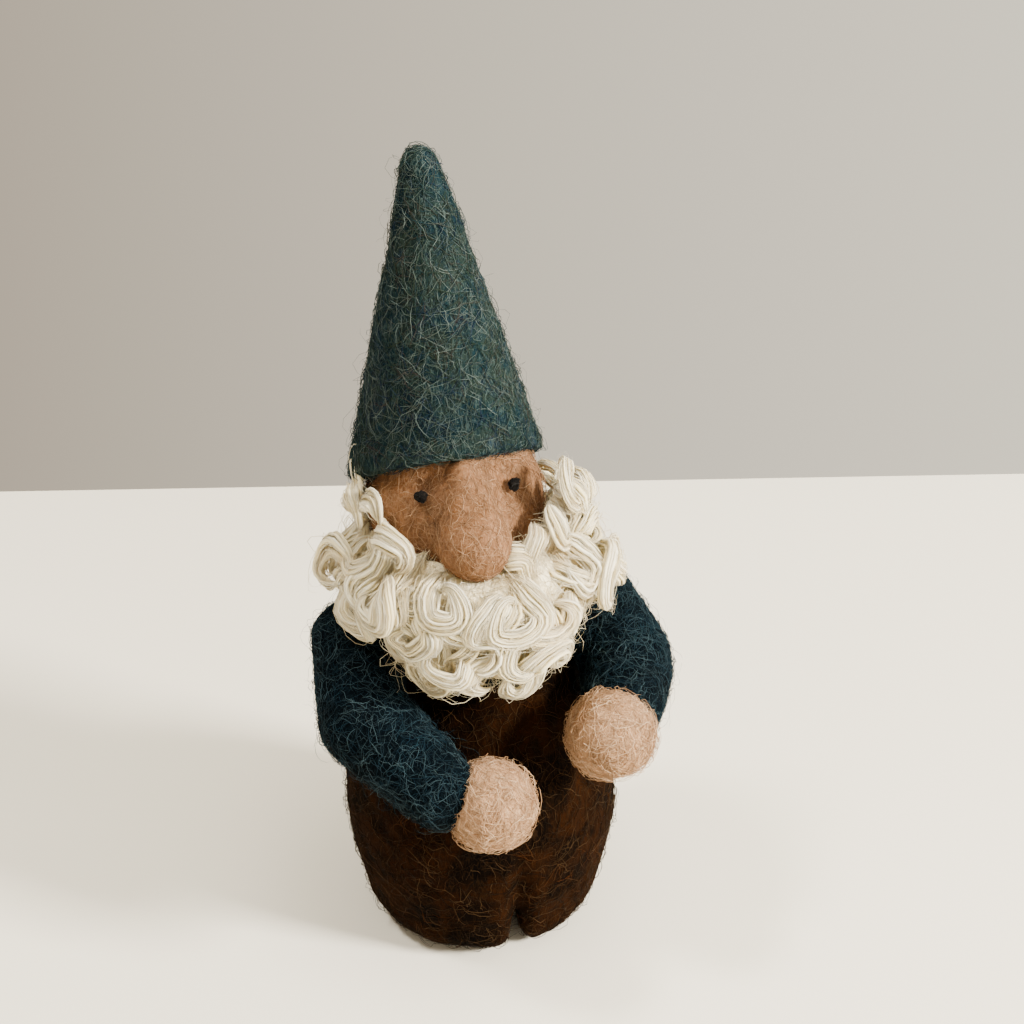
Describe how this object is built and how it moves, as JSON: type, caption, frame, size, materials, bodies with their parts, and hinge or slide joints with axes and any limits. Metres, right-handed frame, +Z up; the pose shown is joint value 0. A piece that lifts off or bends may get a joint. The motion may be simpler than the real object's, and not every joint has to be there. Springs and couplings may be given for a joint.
{
  "type": "tomte gnome figurine",
  "caption": "Needle-felted wool gnome with a tall felt cone hat, round nose, curly fleece beard, stubby cleft legs and arms folded to its belly.",
  "frame": {"origin": "on the floor under the middle of the body, where the legs stand", "axes": "+Z up through the hat, -Y the way the figure faces, +X to the figure's own left"},
  "size_m": [0.0738, 0.0735, 0.17],
  "materials": {
    "core_wool": "matte carded wool",
    "brown_wool": "matte felted wool",
    "navy_wool": "matte felted wool",
    "teal_wool": "matte felted wool",
    "face_wool": "matte felted wool",
    "hand_wool": "matte felted wool",
    "black_wool": "matte felted wool",
    "fleece_lock": "lustrous curled fleece",
    "fleece_root": "lustrous curled fleece"
  },
  "bodies": {
    "figure": {"beard_bib": "fleece_root", "beard_lock_01": "fleece_lock", "beard_lock_02": "fleece_lock", "beard_lock_03": "fleece_lock", "beard_lock_04": "fleece_lock", "beard_lock_11": "fleece_lock", "beard_lock_12": "fleece_lock", "beard_lock_13": "fleece_lock", "beard_lock_14": "fleece_lock", "beard_lock_15": "fleece_lock", "beard_lock_16": "fleece_lock", "beard_lock_17": "fleece_lock", "beard_lock_18": "fleece_lock", "beard_lock_19": "fleece_lock", "beard_mat": "fleece_root", "face": "face_wool", "hair_lock_05": "fleece_lock", "hair_lock_06": "fleece_lock", "hair_lock_07": "fleece_lock", "hair_lock_08": "fleece_lock", "hair_lock_09": "fleece_lock", "hair_lock_10": "fleece_lock", "hat": "teal_wool", "hat_core": "core_wool", "head_core": "core_wool", "jumper_yoke": "navy_wool", "left_eye": "black_wool", "left_leg_core": "core_wool", "left_trouser_leg": "brown_wool", "nose": "face_wool", "right_eye": "black_wool", "right_leg_core": "core_wool", "right_trouser_leg": "brown_wool", "temple_lock_20": "fleece_lock", "temple_lock_21": "fleece_lock", "temple_lock_22": "fleece_lock", "temple_lock_23": "fleece_lock", "temple_lock_24": "fleece_lock", "temple_lock_25": "fleece_lock", "torso_core": "core_wool", "trouser_body": "brown_wool"},
    "right_arm": {"right_arm_core": "core_wool", "right_sleeve": "navy_wool", "right_hand": "hand_wool"},
    "left_arm": {"left_arm_core": "core_wool", "left_sleeve": "navy_wool", "left_hand": "hand_wool"}
  },
  "joints": [
    {"name": "right_shoulder", "type": "hinge", "parent": "figure", "child": "right_arm", "pos_m": [-0.024, 0.007, 0.071], "axis": [0, 0, -1], "range_deg": [0, 18], "stiffness_Nm_per_rad": 0.02},
    {"name": "left_shoulder", "type": "hinge", "parent": "figure", "child": "left_arm", "pos_m": [0.024, 0.007, 0.071], "axis": [0, 0, 1], "range_deg": [0, 18], "stiffness_Nm_per_rad": 0.02}
  ]
}
